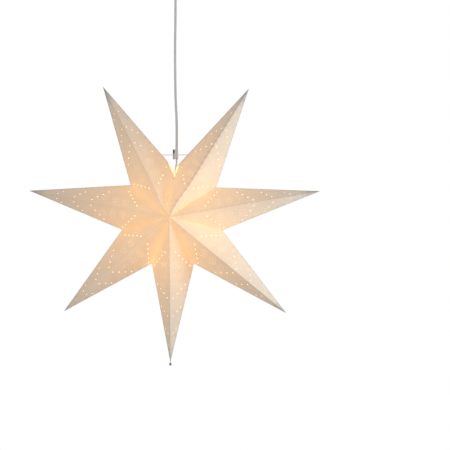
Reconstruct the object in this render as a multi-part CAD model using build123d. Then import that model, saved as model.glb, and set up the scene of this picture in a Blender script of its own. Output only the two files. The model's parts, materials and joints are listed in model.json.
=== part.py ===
from build123d import *
import os
from math import cos, radians, sin, tan

# Paper star lantern: seven folded paper points round a hanging lamp.
# Millimetres. The origin is the middle of the ceiling bracket's top face, +Z is up,
# and the star's front looks along -Y. Everything hangs below the origin.

# Clearances
fit = 0.05                 # a piece held still in its seat
running = 0.08             # a piece that turns or slides in its seat
gluing_gap = 0.02          # between glued papers
wire_clearance = 0.2       # between the spreader wire and what it passes

# The star
star_drop = 475.0          # from the ceiling down to the star's centre
star_shift = -4.0          # the star's centre against the cord's top, along X
point_reach = 273.0        # centre to tip
valley_reach = 93.0        # centre to the corner between two points
half_depth = 75.0          # centre to the front or the back apex
paper = 0.35
seam_angle = 8.0           # what seven sectors leave open at the top, in degrees
lean = -1.0                # the whole star, turned in its own plane, in degrees
flap_width = 7.0           # glue flap along each valley, and along the seam
mouth_hem = 1.6            # the seam's flap where the seam stands open

# How the opened paper has settled: further out in mm, further round in degrees.
# The points start at the top left and go round by the left, the bottom and the right.
tip_settle = [(6.0, -0.1), (0.0, 0.2), (-9.2, 1.2), (-10.6, -0.1), (-2.7, 0.95), (2.0, 1.0), (5.0, 0.0)]
valley_settle = [(8.3, -2.0), (3.6, -2.1), (-2.4, 0.3), (-2.5, 0.9), (0.0, 2.7), (5.2, 1.6)]
point_names = [
    "point_top_left",
    "point_left",
    "point_lower_left",
    "point_bottom",
    "point_lower_right",
    "point_right",
    "point_top_right",
]

# The seam at the top: shut by pads in front and behind, then open for the cord.
# The mouth's two corners lie at these places, across and up from the star's centre.
seam_gap = 1.2
mouth_left = (-10.3, 106.0)
mouth_right = (11.0, 100.0)
mouth_front_depth = 40.0   # how far the seam's front edge stands open below the corners
mouth_back_depth = 20.0    # and its back edge
pad_width = 5.0            # across the flap
pad_length = 16.0          # along the flap
pad_edge = 1.2             # from the paper's edge
pad_height = 38.0          # the pad's middle above the star's centre

# Punched holes in each paper face, in four rows that run out from the middle fold:
# the first hole (along the point, off the fold), the step (along, off) and the number of holes
hole_radius = 1.3
punch_length = 2.0
hole_row_starts = [(65.0, 8.8), (151.0, 5.0), (185.0, 4.6), (218.0, 4.3)]
hole_row_steps = [(5.8, 5.9), (-8.8, 6.6), (-8.8, 6.2), (-9.4, 5.2)]
hole_row_counts = [5, 4, 3, 2]

# The flat twin cord and the cores in it
cord_width = 4.6
cord_thick = 2.8
core_radius = 0.85
core_offset = 1.05
core_strip = 3.0           # how deep a core is drawn inside the jacket's end
core_stub = 1.5            # how far the jacket stands out of the part that grips it

# The spreader wire and the clip that holds it on the cord
wire_height = 118.5        # above the star's centre
wire_radius = 0.45
wire_reach = 8.0           # past each point's edge
wire_hook = 7.0
wire_bend = 1.6
wire_hole_radius = 0.75    # in the paper
clip_top_over_wire = 9.7
clip_length = 17.8
clip_width = 4.6
clip_strip = 0.6
clip_cord_x = 2.4          # the cord's place in the clip
clip_travel = 8.0
turn_below_clip = 0.5      # the cord lies edge on from here down

# The bead under the bottom point
bead_radius = 2.35
bead_length = 5.4
bead_wire_radius = 0.3
bead_pin_radius = 0.25
bead_hole_radius = 0.5
bead_hole_height = 4.5     # above the paper's tip
bead_wire_gap = 0.3
bead_pin_head = 0.75

# The ceiling fitting
bracket_width = 14.0
bracket_thick = 2.0
bracket_hole_spacing = 42.0
bracket_hole_radius = 2.25
ear_drop = 14.0
ear_thick = 1.5
cup_radius = 36.0
cup_height = 46.0
cup_wall = 1.6
cup_rounding = 12.0
cup_screw_radius = 1.5
cup_screw_height = 8.0     # below the ceiling
cup_screw_head = 2.8
cup_screw_head_thick = 1.6
cup_screw_way = 1.7        # the hole in the cup
cup_screw_past = 1.0       # past the ear's inner face
slot_width = 0.7           # of every screw slot
slot_depth = 0.8

# The swivel in the cup's floor
socket_radius = 10.0
socket_flange = 13.0
socket_flange_thick = 2.0
socket_rim = 3.4           # above the flange
socket_neck = 8.0          # below the cup's floor
nut_radius = 13.5
nut_height = 5.0
nut_chamfer = 0.8
ball_radius = 8.0
ball_above_floor = 1.0     # the ball's centre above the cup's outside face
ball_flat = 7.0            # centre to each flat
mouth_radius = 5.6
lock_radius = 5.5
lock_height = 9.0
lock_screw_radius = 1.4

# The connector on the cord's tail
connector_size = (13.0, 8.0, 14.0)
connector_port = 2.7       # each port, off the middle
connector_over_tail = 4.0
connector_port_radius = 1.05
clamp_size = (3.4, 4.4, 6.0)
clamp_slot = 1.2
clamp_from_port = 3.0

# The lampholder, sizes for a small screw cap
grip_top = 70.0            # above the star's centre
grip_radius = 5.5
grip_height = 8.0
grip_thread_radius = 4.0
grip_thread_length = 6.0
grip_screw_radius = 1.3
cap_neck_radius = 6.5
cap_neck_height = 7.0
cap_shoulder = 5.0
holder_radius = 14.0
holder_wall = 1.6
cap_height = 23.0
shell_height = 31.0
shell_bore = 8.6
shell_rounding = 1.2
carrier_thick = 9.0
carrier_radius = 12.0
sleeve_inner = 7.1
sleeve_wall = 0.5
sleeve_height = 23.0
terminal_size = (5.0, 6.0, 6.0)
terminal_offset = 7.0
terminal_screw_radius = 1.3
rivet_radius = 0.8
side_rivet_radius = 0.6
terminal_screw_height = 4.5
leaf_width = 4.0
leaf_thick = 0.4
leaf_drop = 3.0

# The bulb
lamp_cap_radius = 6.95
lamp_cap_wall = 0.3
lamp_cap_length = 21.0
lamp_cap_shoulder = 1.6
skirt_radius = 6.7
thread_pitch = 2.82
thread_depth = 0.5
thread_turns = 5
insulator_radius = 3.5
insulator_height = 2.6
tip_radius = 2.2
tip_height = 1.2
insulator_ledge = 0.2      # round the contact
globe_radius = 20.0
globe_wall = 0.8
globe_neck_length = 5.0    # from the cap's rim to where the neck opens out
throat_angle = 40.0        # where the throat meets the globe, off the axis
stem_radius = 2.4
stem_past_filaments = 1.5
stem_head_thick = 1.2
filament_radius = 0.9
filament_length = 24.0
filament_rise = 2.0        # the filaments' middle over the globe's centre
filament_ring = 7.0
filament_count = 4
support_radius = 0.3
board_thick = 1.2
board_edge = 0.25          # between the board's edges and the cap
board_height = 9.0

wire_depth = cord_thick / 2 + running + clip_strip + wire_clearance + wire_radius
centre = Vector(star_shift, wire_depth, -star_drop)
up = (Align.CENTER, Align.CENTER, Align.MIN)
down = (Align.CENTER, Align.CENTER, Align.MAX)
pieces = {}


def rod(start, end, radius):
    # a round bar from one place to another
    run = Vector(*end) - Vector(*start)
    return Plane(origin=start, z_dir=run) * Cylinder(radius, run.length, align=up)


def turned(profile):
    # a solid of revolution from (radius, height) corners
    return revolve(make_face(Plane.XZ * Polyline(*profile, close=True)), Axis.Z)


def group(solids):
    # separate solids that share one node
    return Compound(children=[solid.solid() for solid in solids])


def bend_radii(route):
    # each corner's arc, as large as its two runs allow
    radii = []
    for before, here, after in zip(route, route[1:], route[2:]):
        run_in = Vector(*here) - Vector(*before)
        run_out = Vector(*after) - Vector(*here)
        half_turn = radians(run_in.get_angle(run_out)) / 2
        radii.append(0.45 * min(run_in.length, run_out.length) / tan(half_turn))
    return radii


# The folded paper points


def spot(bearing, reach, depth=0.0):
    # a place by its direction in the star's plane and its distance from the centre
    return centre + Vector(reach * cos(radians(bearing)), depth, reach * sin(radians(bearing)))


point_count = len(point_names)
sector = (360.0 - seam_angle) / point_count
first_bearing = 90.0 + lean + seam_angle / 2 + sector / 2
bearings = [first_bearing + sector * i + tip_settle[i][1] for i in range(point_count)]
reaches = [point_reach + tip_settle[i][0] for i in range(point_count)]
tips = [spot(bearings[i], reaches[i]) for i in range(point_count)]
valleys = [
    spot(first_bearing + sector * (i + 0.5) + turn, valley_reach + out)
    for i, (out, turn) in enumerate(valley_settle)
]
front = spot(0, 0, -half_depth)
back = spot(0, 0, half_depth)
mouths = [centre + Vector(x, 0, z) for x, z in (mouth_left, mouth_right)]
mouth_height = (mouth_left[1] + mouth_right[1]) / 2
seam_front = spot(90, mouth_height - mouth_front_depth, -half_depth * mouth_front_depth / mouth_height)
seam_back = spot(90, mouth_height - mouth_back_depth, half_depth * mouth_back_depth / mouth_height)


def inward_cut(face, inside, depth):
    # the plane through three corners, facing away from the inside, moved in by a depth
    a, b, c = face
    normal = (b - a).cross(c - a).normalized()
    if normal.dot(inside - a) > 0:
        normal = normal * -1
    return Plane(origin=a - normal * depth, z_dir=normal)


def folded_point(tip, sides, seam_side, bearing, stretch):
    # One sheet folded to a hollow point: paper faces outside, flaps along the valleys and the seam.
    # sides holds the two corners beside the point; seam_side is the one at the seam, or None.
    corners = [front, back, tip, *sides]
    flaps = []
    walls = []
    for i, side in enumerate(sides):
        if i == seam_side:
            corners += [seam_front, seam_back]
            walls.append(((front, back, seam_front), seam_gap / 2))
            walls.append(((seam_front, seam_back, side), gluing_gap / 2))
            for apex, seam_corner in ((front, seam_front), (back, seam_back)):
                flaps.append(((apex, tip, seam_corner), flap_width))
                flaps.append(((seam_corner, tip, side), mouth_hem))
        else:
            walls.append(((front, back, side), gluing_gap / 2))
            flaps.append(((front, tip, side), flap_width))
            flaps.append(((back, tip, side), flap_width))
    middle = sum(corners, Vector(0, 0, 0)) / len(corners)
    outside = ConvexPolyhedron(corners)
    inside = outside
    window = Pos(*middle) * Box(4 * point_reach, 4 * point_reach, 4 * point_reach)
    for face, width in flaps:
        inside = split(inside, bisect_by=inward_cut(face, middle, paper), keep=Keep.BOTTOM)
        window = split(window, bisect_by=inward_cut(face, middle, width), keep=Keep.BOTTOM)
    for face, gap in walls:
        inside = split(inside, bisect_by=inward_cut(face, middle, gap + paper), keep=Keep.BOTTOM)
        outside = split(outside, bisect_by=inward_cut(face, middle, gap), keep=Keep.BOTTOM)
    paper_faces = [face for face, width in flaps]
    return outside - inside - window - punched_holes(paper_faces, middle, bearing, stretch)


def depth_over(face, x, z):
    # the depth at which the line along Y through (x, z) meets a face, or None beside it
    a, b, c = face
    area = (b.X - a.X) * (c.Z - a.Z) - (c.X - a.X) * (b.Z - a.Z)
    share_b = ((x - a.X) * (c.Z - a.Z) - (c.X - a.X) * (z - a.Z)) / area
    share_c = ((b.X - a.X) * (z - a.Z) - (x - a.X) * (b.Z - a.Z)) / area
    if min(share_b, share_c, 1 - share_b - share_c) < 0:
        return None
    return a.Y + share_b * (b.Y - a.Y) + share_c * (c.Y - a.Y)


def punched_holes(paper_faces, middle, bearing, stretch):
    # punches square to each face, placed by their spot in the star's plane
    along = Vector(cos(radians(bearing)), 0, sin(radians(bearing)))
    across = Vector(-along.Z, 0, along.X)
    punches = []
    for start, step, count in zip(hole_row_starts, hole_row_steps, hole_row_counts):
        for i in range(count):
            for hand in (-1, 1):
                flat_spot = centre + along * (start[0] + step[0] * i) * stretch
                flat_spot += across * hand * (start[1] + step[1] * i)
                punches += [
                    inward_cut(face, middle, 0).shift_origin((flat_spot.X, depth, flat_spot.Z))
                    for face in paper_faces
                    if (depth := depth_over(face, flat_spot.X, flat_spot.Z)) is not None
                ]
    return [plane * Cylinder(hole_radius, punch_length) for plane in punches]


for i, name in enumerate(point_names):
    side_before = mouths[1] if i == point_count - 1 else valleys[i]
    side_after = mouths[0] if i == 0 else valleys[i - 1]
    seam_side = {0: 1, point_count - 1: 0}.get(i)
    pieces[name] = folded_point(
        tips[i], [side_before, side_after], seam_side, bearings[i], reaches[i] / point_reach
    )

# The pads lie on the seam's flaps, one pair behind the front edge and one behind the back


def seam_pads(hand, name):
    pads = []
    for apex, shut in ((front, seam_front), (back, seam_back)):
        edge = (shut - apex).normalized()
        inwards = Vector(0, -edge.Z, edge.Y)
        if inwards.dot(centre - apex) < 0:
            inwards = inwards * -1
        along_edge = pad_height / edge.Z
        middle = apex + edge * along_edge + inwards * (pad_edge + pad_width / 2)
        seat = Plane(origin=middle, x_dir=edge, z_dir=(hand, 0, 0))
        pads.append(seat * Box(pad_length, pad_width, seam_gap / 2 - gluing_gap / 2, align=up))
    pieces[name] = group(pads)


seam_pads(-1, "seam_hook_pads")
seam_pads(1, "seam_loop_pads")

# The spreader wire runs through a hole in the inner edge of each top point


def edge_crossing(mouth, tip):
    share = (centre.Z + wire_height - mouth.Z) / (tip.Z - mouth.Z)
    return mouth.X + (tip.X - mouth.X) * share


wire_z = centre.Z + wire_height
wire_left = edge_crossing(mouths[0], tips[0]) - wire_reach
wire_right = edge_crossing(mouths[1], tips[-1]) + wire_reach
wire_route = [
    (wire_left, centre.Y, wire_z - wire_hook),
    (wire_left, centre.Y, wire_z),
    (wire_right, centre.Y, wire_z),
    (wire_right, centre.Y, wire_z - wire_hook),
]
wire_path = FilletPolyline(*wire_route, radius=wire_bend)
pieces["spreader_wire"] = sweep(Plane(wire_path ^ 0) * Circle(wire_radius), path=wire_path)
for name, end, hand in ((point_names[0], wire_left, -1), (point_names[-1], wire_right, 1)):
    hole_start = (end + hand * wire_bend, centre.Y, wire_z)
    hole_end = (end - hand * (wire_reach + 2 * wire_bend), centre.Y, wire_z)
    pieces[name] -= rod(hole_start, hole_end, wire_hole_radius)

# The clip on the cord: a bar with the wire's hole, and a strip that goes round the cord
clip_top = wire_z + clip_top_over_wire
clip_bottom = clip_top - clip_length
seat_section = SlotOverall(cord_width + 2 * running, cord_thick + 2 * running)
cord_seat = Pos(clip_cord_x, 0, clip_top) * extrude(seat_section, -clip_length)
strip_section = offset(seat_section, clip_strip)
strip_outside = Pos(clip_cord_x, 0, clip_top) * extrude(strip_section, -clip_length)
cord_left = clip_cord_x - cord_width / 2
bar_depth = centre.Y + wire_radius + clip_strip + cord_thick / 2 + clip_strip
bar_front = -cord_thick / 2 - clip_strip
clip_bar = Pos(cord_left, bar_front, clip_top) * Box(
    clip_width, bar_depth, clip_length, align=(Align.MAX, Align.MIN, Align.MAX)
)
open_front = Pos(cord_left + cord_thick / 2, 0, clip_top) * Box(
    cord_width - cord_thick, cord_width, clip_length, align=(Align.MIN, Align.MAX, Align.MAX)
)
clip = clip_bar + (strip_outside - open_front) - cord_seat
wire_hole = (cord_left - 2 * clip_width, centre.Y, wire_z)
clip -= rod(wire_hole, (cord_left + cord_width, centre.Y, wire_z), wire_radius + running)
pieces["cord_clip"] = clip

# The bead hangs from a wire loop through the bottom point's tip
low_tip = tips[point_names.index("point_bottom")]
bead_pivot = low_tip + Vector(0, 0, bead_hole_height)
tip_half_depth = half_depth * bead_hole_height / point_reach
loop_half = tip_half_depth + bead_wire_gap + bead_wire_radius
loop_low = low_tip.Z - bead_wire_gap - bead_wire_radius
loop_corners = [
    (low_tip.X, low_tip.Y - loop_half, bead_pivot.Z),
    (low_tip.X, low_tip.Y + loop_half, bead_pivot.Z),
    (low_tip.X, low_tip.Y + loop_half, loop_low),
    (low_tip.X, low_tip.Y - loop_half, loop_low),
]
loop = FilletPolyline(*loop_corners, radius=2 * bead_wire_radius, close=True)
bead_loop = sweep(Plane(loop ^ 0) * Circle(bead_wire_radius), path=loop)
bead_top = loop_low - bead_wire_radius
bead_foot = bead_top - bead_length
pin_foot = bead_foot - bead_wire_radius
bead_pin = rod((low_tip.X, low_tip.Y, loop_low), (low_tip.X, low_tip.Y, pin_foot), bead_pin_radius)
bead_head = Pos(low_tip.X, low_tip.Y, bead_foot) * Cylinder(bead_pin_head, bead_wire_radius, align=down)
pieces["bead_wire"] = bead_loop + bead_pin + bead_head
bead_body = scale(Sphere(bead_radius), by=(1, 1, bead_length / (2 * bead_radius)))
bead_bore = Cylinder(bead_pin_radius + fit, 2 * bead_length)
pieces["tip_bead"] = Pos(low_tip.X, low_tip.Y, (bead_top + bead_foot) / 2) * (bead_body - bead_bore)
bead_hole = Pos(*bead_pivot) * Rot(90, 0, 0) * Cylinder(bead_hole_radius, 4 * loop_half)
pieces["point_bottom"] -= bead_hole

# The ceiling bracket: a strap with an ear bent down at each end
ear_x = cup_radius - cup_wall - fit
ear_face = Box(ear_thick, bracket_width, ear_drop, align=(Align.MAX, Align.CENTER, Align.MAX))
ears = Pos(ear_x, 0, 0) * ear_face + Rot(0, 0, 180) * (Pos(ear_x, 0, 0) * ear_face)
strap = Box(2 * ear_x, bracket_width, bracket_thick, align=down)
round_inside = Cylinder(cup_radius - cup_wall - fit, ear_drop, align=down)
ceiling_holes = [
    Pos(hand * bracket_hole_spacing / 2, 0, 0) * Cylinder(bracket_hole_radius, 3 * bracket_thick)
    for hand in (-1, 1)
]
screw_line = Pos(0, 0, -cup_screw_height) * Rot(0, 90, 0)
ear_holes = screw_line * Cylinder(cup_screw_radius, 2 * cup_radius)
pieces["ceiling_bracket"] = ((strap + ears) & round_inside) - ceiling_holes - ear_holes

# The cup that covers it, with the swivel's hole in its floor
cup_floor = -cup_height
cup_outside = Cylinder(cup_radius, cup_height, align=down)
cup_outside = fillet(cup_outside.edges().sort_by(Axis.Z)[0], cup_rounding)
cup_inside = Cylinder(cup_radius - cup_wall, cup_height - cup_wall, align=down)
cup_inside = fillet(cup_inside.edges().sort_by(Axis.Z)[0], cup_rounding - cup_wall)
screw_ways = screw_line * Cylinder(cup_screw_way, 4 * cup_radius)
socket_hole = Pos(0, 0, cup_floor) * Cylinder(socket_radius + running, 4 * cup_wall)
pieces["ceiling_cup"] = cup_outside - cup_inside - screw_ways - socket_hole


def cup_screw():
    head = Pos(cup_radius, 0, -cup_screw_height) * Rot(0, 90, 0)
    shank = head * Cylinder(cup_screw_radius - fit, cup_wall + ear_thick + cup_screw_past, align=down)
    button = head * Cylinder(cup_screw_head, cup_screw_head_thick, align=up)
    button = fillet(button.edges().sort_by(Axis.X)[-1], cup_screw_head_thick / 2)
    slot = Box(slot_width, 2 * cup_screw_head, slot_depth, align=down)
    return shank + button - head * Pos(0, 0, cup_screw_head_thick) * slot


pieces["cup_screws"] = group([cup_screw(), Rot(0, 0, 180) * cup_screw()])

# The swivel: a socket that turns in the cup's floor, a nut under it, a ball that swings in it
ball_centre = cup_floor + ball_above_floor
flange_foot = cup_floor + cup_wall + running
rim_top = flange_foot + socket_flange_thick + socket_rim
neck_foot = cup_floor - socket_neck
socket_outside = turned([
    (0, rim_top),
    (socket_radius, rim_top),
    (socket_radius, flange_foot + socket_flange_thick),
    (socket_flange, flange_foot + socket_flange_thick),
    (socket_flange, flange_foot),
    (socket_radius, flange_foot),
    (socket_radius, neck_foot),
    (0, neck_foot),
])
ball_seat = Pos(0, 0, ball_centre) * Sphere(ball_radius + running)
ball_way_in = Pos(0, 0, ball_centre) * Cylinder(ball_radius + running, socket_neck, align=up)
cord_mouth = Pos(0, 0, ball_centre) * Cylinder(mouth_radius, 2 * socket_neck, align=down)
pieces["swivel_socket"] = socket_outside - ball_seat - ball_way_in - cord_mouth
nut_top = cup_floor - running
nut = Pos(0, 0, nut_top) * (
    Cylinder(nut_radius, nut_height, align=down) - Cylinder(socket_radius + fit, nut_height, align=down)
)
nut_rims = nut.edges().filter_by(GeomType.CIRCLE).sort_by(SortBy.RADIUS)[-2:]
pieces["socket_nut"] = chamfer(nut_rims, nut_chamfer)

cord_section = SlotOverall(cord_width, cord_thick)
cord_passage = SlotOverall(cord_width + 2 * fit, cord_thick + 2 * fit)
ball_top = ball_centre + ball_flat
ball_foot = ball_centre - ball_flat
ball = Sphere(ball_radius) & Box(2 * ball_radius, 2 * ball_radius, 2 * ball_flat)
pieces["swivel_ball"] = Pos(0, 0, ball_centre) * (ball - extrude(cord_passage, ball_radius, both=True))
lock_top = ball_top + lock_height
lock = Cylinder(lock_radius, lock_height, align=up) - extrude(cord_passage, lock_height)
lock_screw_z = ball_top + lock_height / 2
lock_screw_seat = (0, cord_thick / 2, lock_screw_z)
lock_screw_way = rod(lock_screw_seat, (0, 2 * lock_radius, lock_screw_z), lock_screw_radius + fit)
pieces["cord_lock"] = Pos(0, 0, ball_top) * lock - lock_screw_way
lock_screw = rod(lock_screw_seat, (0, lock_radius, lock_screw_z), lock_screw_radius)
lock_slot = Pos(0, lock_radius, lock_screw_z) * Box(2 * lock_screw_radius, 2 * slot_depth, slot_width)
pieces["cord_lock_screw"] = lock_screw - lock_slot


def core_bores(height):
    # a bore for each core, down from the jacket's end
    bore = Cylinder(core_radius + fit, height, align=down)
    return [Pos(hand * core_offset, 0, 0) * bore for hand in (-1, 1)]


# The cord's upper end: sheath through the ball and the lock, bare cores above
tail_top = lock_top + core_stub
tail = Pos(0, 0, ball_foot) * extrude(cord_section, tail_top - ball_foot)
pieces["cord_tail"] = tail - [Pos(0, 0, tail_top) * bore for bore in core_bores(core_strip)]
connector_foot = tail_top + connector_over_tail
clamp_foot = connector_foot + clamp_from_port
clamp_top = clamp_foot + clamp_size[2]


def upper_core(hand):
    route = [
        (hand * core_offset, 0, tail_top - core_strip),
        (hand * core_offset, 0, tail_top + core_radius),
        (hand * connector_port, 0, connector_foot - core_radius),
        (hand * connector_port, 0, clamp_foot),
    ]
    path = FilletPolyline(*route, radius=core_radius)
    return sweep(Plane(path ^ 0) * Circle(core_radius), path=path)


pieces["upper_live_core"] = upper_core(-1)
pieces["upper_neutral_core"] = upper_core(1)
block = Pos(0, 0, connector_foot) * Box(*connector_size, align=up)
clamps = []
for hand in (-1, 1):
    port_foot = Pos(hand * connector_port, 0, connector_foot)
    clamp_place = Pos(hand * connector_port, 0, clamp_foot)
    block -= port_foot * Cylinder(connector_port_radius, connector_size[2], align=up)
    block -= clamp_place * Box(clamp_size[0] + 2 * fit, clamp_size[1] + 2 * fit, clamp_size[2], align=up)
    clamp = Box(*clamp_size, align=up)
    slot = Pos(0, 0, clamp_size[2]) * Box(clamp_slot, clamp_slot, clamp_size[2], align=down)
    clamps.append(clamp_place * (clamp - slot))
pieces["terminal_connector"] = block
pieces["connector_clamps"] = group(clamps)

# The free cord, from the ball to the clip and from the clip to the lampholder
grip_head = centre.Z + grip_top
turn_z = clip_bottom - turn_below_clip
upper_route = [
    (0, 0, ball_foot),
    (0, 0, ball_foot - 48),
    (-0.9, 0, ball_foot - 104),
    (-0.4, 0, ball_foot - 160),
    (0.4, 0, ball_foot - 208),
    (2.5, 0, ball_foot - 238),
    (clip_cord_x, 0, clip_top + clip_travel + 2),
    (clip_cord_x, 0, turn_z),
]
lower_route = [
    (clip_cord_x, 0, turn_z),
    (clip_cord_x, 0, turn_z - 6),
    (0.9, 0, turn_z - 13),
    (-0.1, 0, turn_z - 22),
    (0, 0, grip_head + 8.8),
    (0, 0, grip_head),
]


def free_cord(name, route, section):
    radii = bend_radii(route)
    path = FilletPolyline(*route, radius=radii)
    start = Plane(origin=route[0], x_dir=(1, 0, 0), z_dir=path % 0)
    pieces[name] = sweep(start * section, path=path)
    share = pieces[name].volume / (section.area * path.length)
    print(name, "length", round(path.length, 1), "radii", [round(radius) for radius in radii])
    print(name, "volume against section times length", round(share, 4))


free_cord("cord_above_clip", upper_route, cord_section)
free_cord("cord_below_clip", lower_route, Rot(0, 0, 90) * cord_section)

# The lampholder's cord grip
side_section = Rot(0, 0, 90) * cord_section
side_passage = Rot(0, 0, 90) * cord_passage
grip_foot = grip_head - grip_height - grip_thread_length
grip = Pos(0, 0, grip_head) * Cylinder(grip_radius, grip_height, align=down)
grip += Pos(0, 0, grip_foot) * Cylinder(grip_thread_radius, grip_thread_length, align=up)
grip_screw_z = grip_head - grip_height / 2
grip_screw_seat = (-cord_thick / 2, 0, grip_screw_z)
grip_screw_way = rod(grip_screw_seat, (-2 * grip_radius, 0, grip_screw_z), grip_screw_radius + fit)
grip -= Pos(0, 0, grip_head) * extrude(side_passage, -grip_height - grip_thread_length)
pieces["cord_grip"] = grip - grip_screw_way
grip_screw = rod(grip_screw_seat, (-grip_radius, 0, grip_screw_z), grip_screw_radius)
grip_slot = Pos(-grip_radius, 0, grip_screw_z) * Box(2 * slot_depth, 2 * grip_screw_radius, slot_width)
pieces["cord_grip_screw"] = grip_screw - grip_slot
sheath_foot = grip_foot - core_stub
sheath = Pos(0, 0, sheath_foot) * extrude(side_section, grip_head - sheath_foot)
sheath -= [Pos(0, 0, sheath_foot + core_strip) * Rot(0, 0, 90) * bore for bore in core_bores(core_strip)]
pieces["cord_end"] = sheath

# The holder's cap: a domed cover with a threaded neck
neck_top = grip_head - grip_height
cap_foot = neck_top - cap_height
shoulder_top = neck_top - cap_neck_height
shoulder_foot = shoulder_top - cap_shoulder
cap_outside = turned([
    (0, neck_top),
    (cap_neck_radius, neck_top),
    (cap_neck_radius, shoulder_top),
    (holder_radius, shoulder_foot),
    (holder_radius, cap_foot),
    (0, cap_foot),
])
cap_inside = turned([
    (0, shoulder_top - holder_wall),
    (cap_neck_radius - holder_wall, shoulder_top - holder_wall),
    (holder_radius - holder_wall, shoulder_foot - holder_wall / 2),
    (holder_radius - holder_wall, cap_foot),
    (0, cap_foot),
])
cap_way = Pos(0, 0, neck_top) * Cylinder(grip_thread_radius + fit, cap_height / 2, align=down)
pieces["holder_cap"] = cap_outside - cap_inside - cap_way

# The insulating carrier sits in the joint of cap and shell, and holds every contact
carrier_top = cap_foot + carrier_thick / 2
carrier_foot = cap_foot - carrier_thick / 2
carrier = Pos(0, 0, carrier_top) * Cylinder(carrier_radius, carrier_thick, align=down)
sleeve_outer = sleeve_inner + sleeve_wall
shell_foot = cap_foot - shell_height
shell = Pos(0, 0, cap_foot) * Cylinder(holder_radius, shell_height, align=down)
shell = fillet(shell.edges().sort_by(Axis.Z)[0], shell_rounding)
shell -= Pos(0, 0, cap_foot) * Cylinder(carrier_radius + fit, carrier_thick / 2, align=down)
shell -= Pos(0, 0, cap_foot) * Cylinder(shell_bore, 2 * shell_height, align=down)
pieces["holder_shell"] = shell
sleeve_top = carrier_foot
sleeve = Cylinder(sleeve_outer, sleeve_height, align=down)
collar = Cylinder(shell_bore - fit, sleeve_wall, align=down)
sleeve_bore = Cylinder(sleeve_inner, sleeve_height, align=down)
pieces["screw_shell"] = Pos(0, 0, sleeve_top) * (sleeve + collar - sleeve_bore)

terminal_foot = carrier_top - terminal_size[2] / 2
terminal_pocket = Box(terminal_size[0] + 2 * fit, terminal_size[1] + 2 * fit, carrier_thick, align=up)
terminals = {}
for name, hand in (("live_terminal", -1), ("neutral_terminal", 1)):
    place_here = Pos(hand * terminal_offset, 0, terminal_foot)
    carrier -= place_here * terminal_pocket
    core_way = Cylinder(core_radius + fit, 2 * terminal_size[2], align=up)
    terminal = place_here * Box(*terminal_size, align=up)
    terminals[name] = terminal - Pos(0, 0, terminal_size[2] / 2) * place_here * core_way
    screw_start = (hand * (terminal_offset + core_radius), 0, terminal_foot + terminal_screw_height)
    screw_end = (hand * (terminal_offset + terminal_size[0] / 2), 0, screw_start[2])
    terminals[name] -= rod(screw_start, screw_end, terminal_screw_radius)
    terminals[name + "_screw"] = rod(screw_start, screw_end, terminal_screw_radius - fit)


# The contacts: a leaf spring from the live terminal, a rivet from the neutral one to the screw shell
live_x = -terminal_offset + terminal_size[0] / 2 - rivet_radius
neutral_x = (sleeve_inner + shell_bore) / 2
contact_foot = carrier_foot - leaf_drop
leaf_side = [
    (live_x - rivet_radius, carrier_foot),
    (live_x + 2 * rivet_radius, carrier_foot),
    (0, contact_foot + leaf_thick),
    (tip_radius, contact_foot + leaf_thick),
    (tip_radius, contact_foot),
    (-leaf_thick, contact_foot),
    (live_x + 2 * rivet_radius - leaf_thick, carrier_foot - leaf_thick),
    (live_x - rivet_radius, carrier_foot - leaf_thick),
]
leaf = extrude(make_face(Plane.XZ * Polyline(*leaf_side, close=True)), leaf_width / 2, both=True)
live_rivet = rod((live_x, 0, carrier_foot), (live_x, 0, terminal_foot), rivet_radius)
pieces["centre_contact"] = leaf + live_rivet
pieces["side_contact"] = rod((neutral_x, 0, carrier_foot), (neutral_x, 0, terminal_foot), side_rivet_radius)
for x, radius in ((live_x, rivet_radius), (neutral_x, side_rivet_radius)):
    carrier -= rod((x, 0, carrier_foot), (x, 0, terminal_foot), radius + fit)
pieces["contact_carrier"] = carrier
pieces["live_terminal"] = terminals["live_terminal"]
pieces["neutral_terminal"] = terminals["neutral_terminal"]
pieces["terminal_screws"] = group([terminals["live_terminal_screw"], terminals["neutral_terminal_screw"]])


def lower_core(hand):
    bend_top = sheath_foot - core_radius
    bend_foot = terminal_foot + terminal_size[2] + core_radius
    route = [
        (0, hand * core_offset, sheath_foot + core_strip),
        (0, hand * core_offset, bend_top),
        (hand * terminal_offset, 0, bend_foot),
        (hand * terminal_offset, 0, terminal_foot + terminal_size[2] / 2),
    ]
    path = FilletPolyline(*route, radius=core_radius)
    return sweep(Plane(path ^ 0) * Circle(core_radius), path=path)


pieces["lower_live_core"] = lower_core(-1)
pieces["lower_neutral_core"] = lower_core(1)

# The bulb: contact, insulator and threaded cap
tip_foot = contact_foot - tip_height
lamp_cap_top = tip_foot - insulator_height
pieces["bulb_contact"] = Pos(0, 0, tip_foot) * Cylinder(tip_radius, tip_height, align=up)
pieces["bulb_insulator"] = Pos(0, 0, lamp_cap_top) * Cone(
    insulator_radius, tip_radius + insulator_ledge, insulator_height, align=up
)
root_radius = lamp_cap_radius - thread_depth
thread_top = lamp_cap_top - lamp_cap_shoulder
lamp_cap_side = [(insulator_radius, lamp_cap_top), (root_radius, thread_top)]
for i in range(thread_turns):
    ridge_top = thread_top - thread_pitch * i
    lamp_cap_side.append((lamp_cap_radius, ridge_top - thread_pitch / 2))
    lamp_cap_side.append((root_radius, ridge_top - thread_pitch))
lamp_cap_rim = lamp_cap_top - lamp_cap_length
skirt_top = lamp_cap_side[-1][1] - (skirt_radius - root_radius)
lamp_cap_side += [(skirt_radius, skirt_top), (skirt_radius, lamp_cap_rim)]
lamp_cap_inner = [(r - lamp_cap_wall, z) for r, z in reversed(lamp_cap_side)]
pieces["bulb_cap"] = turned(lamp_cap_side + lamp_cap_inner)

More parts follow.
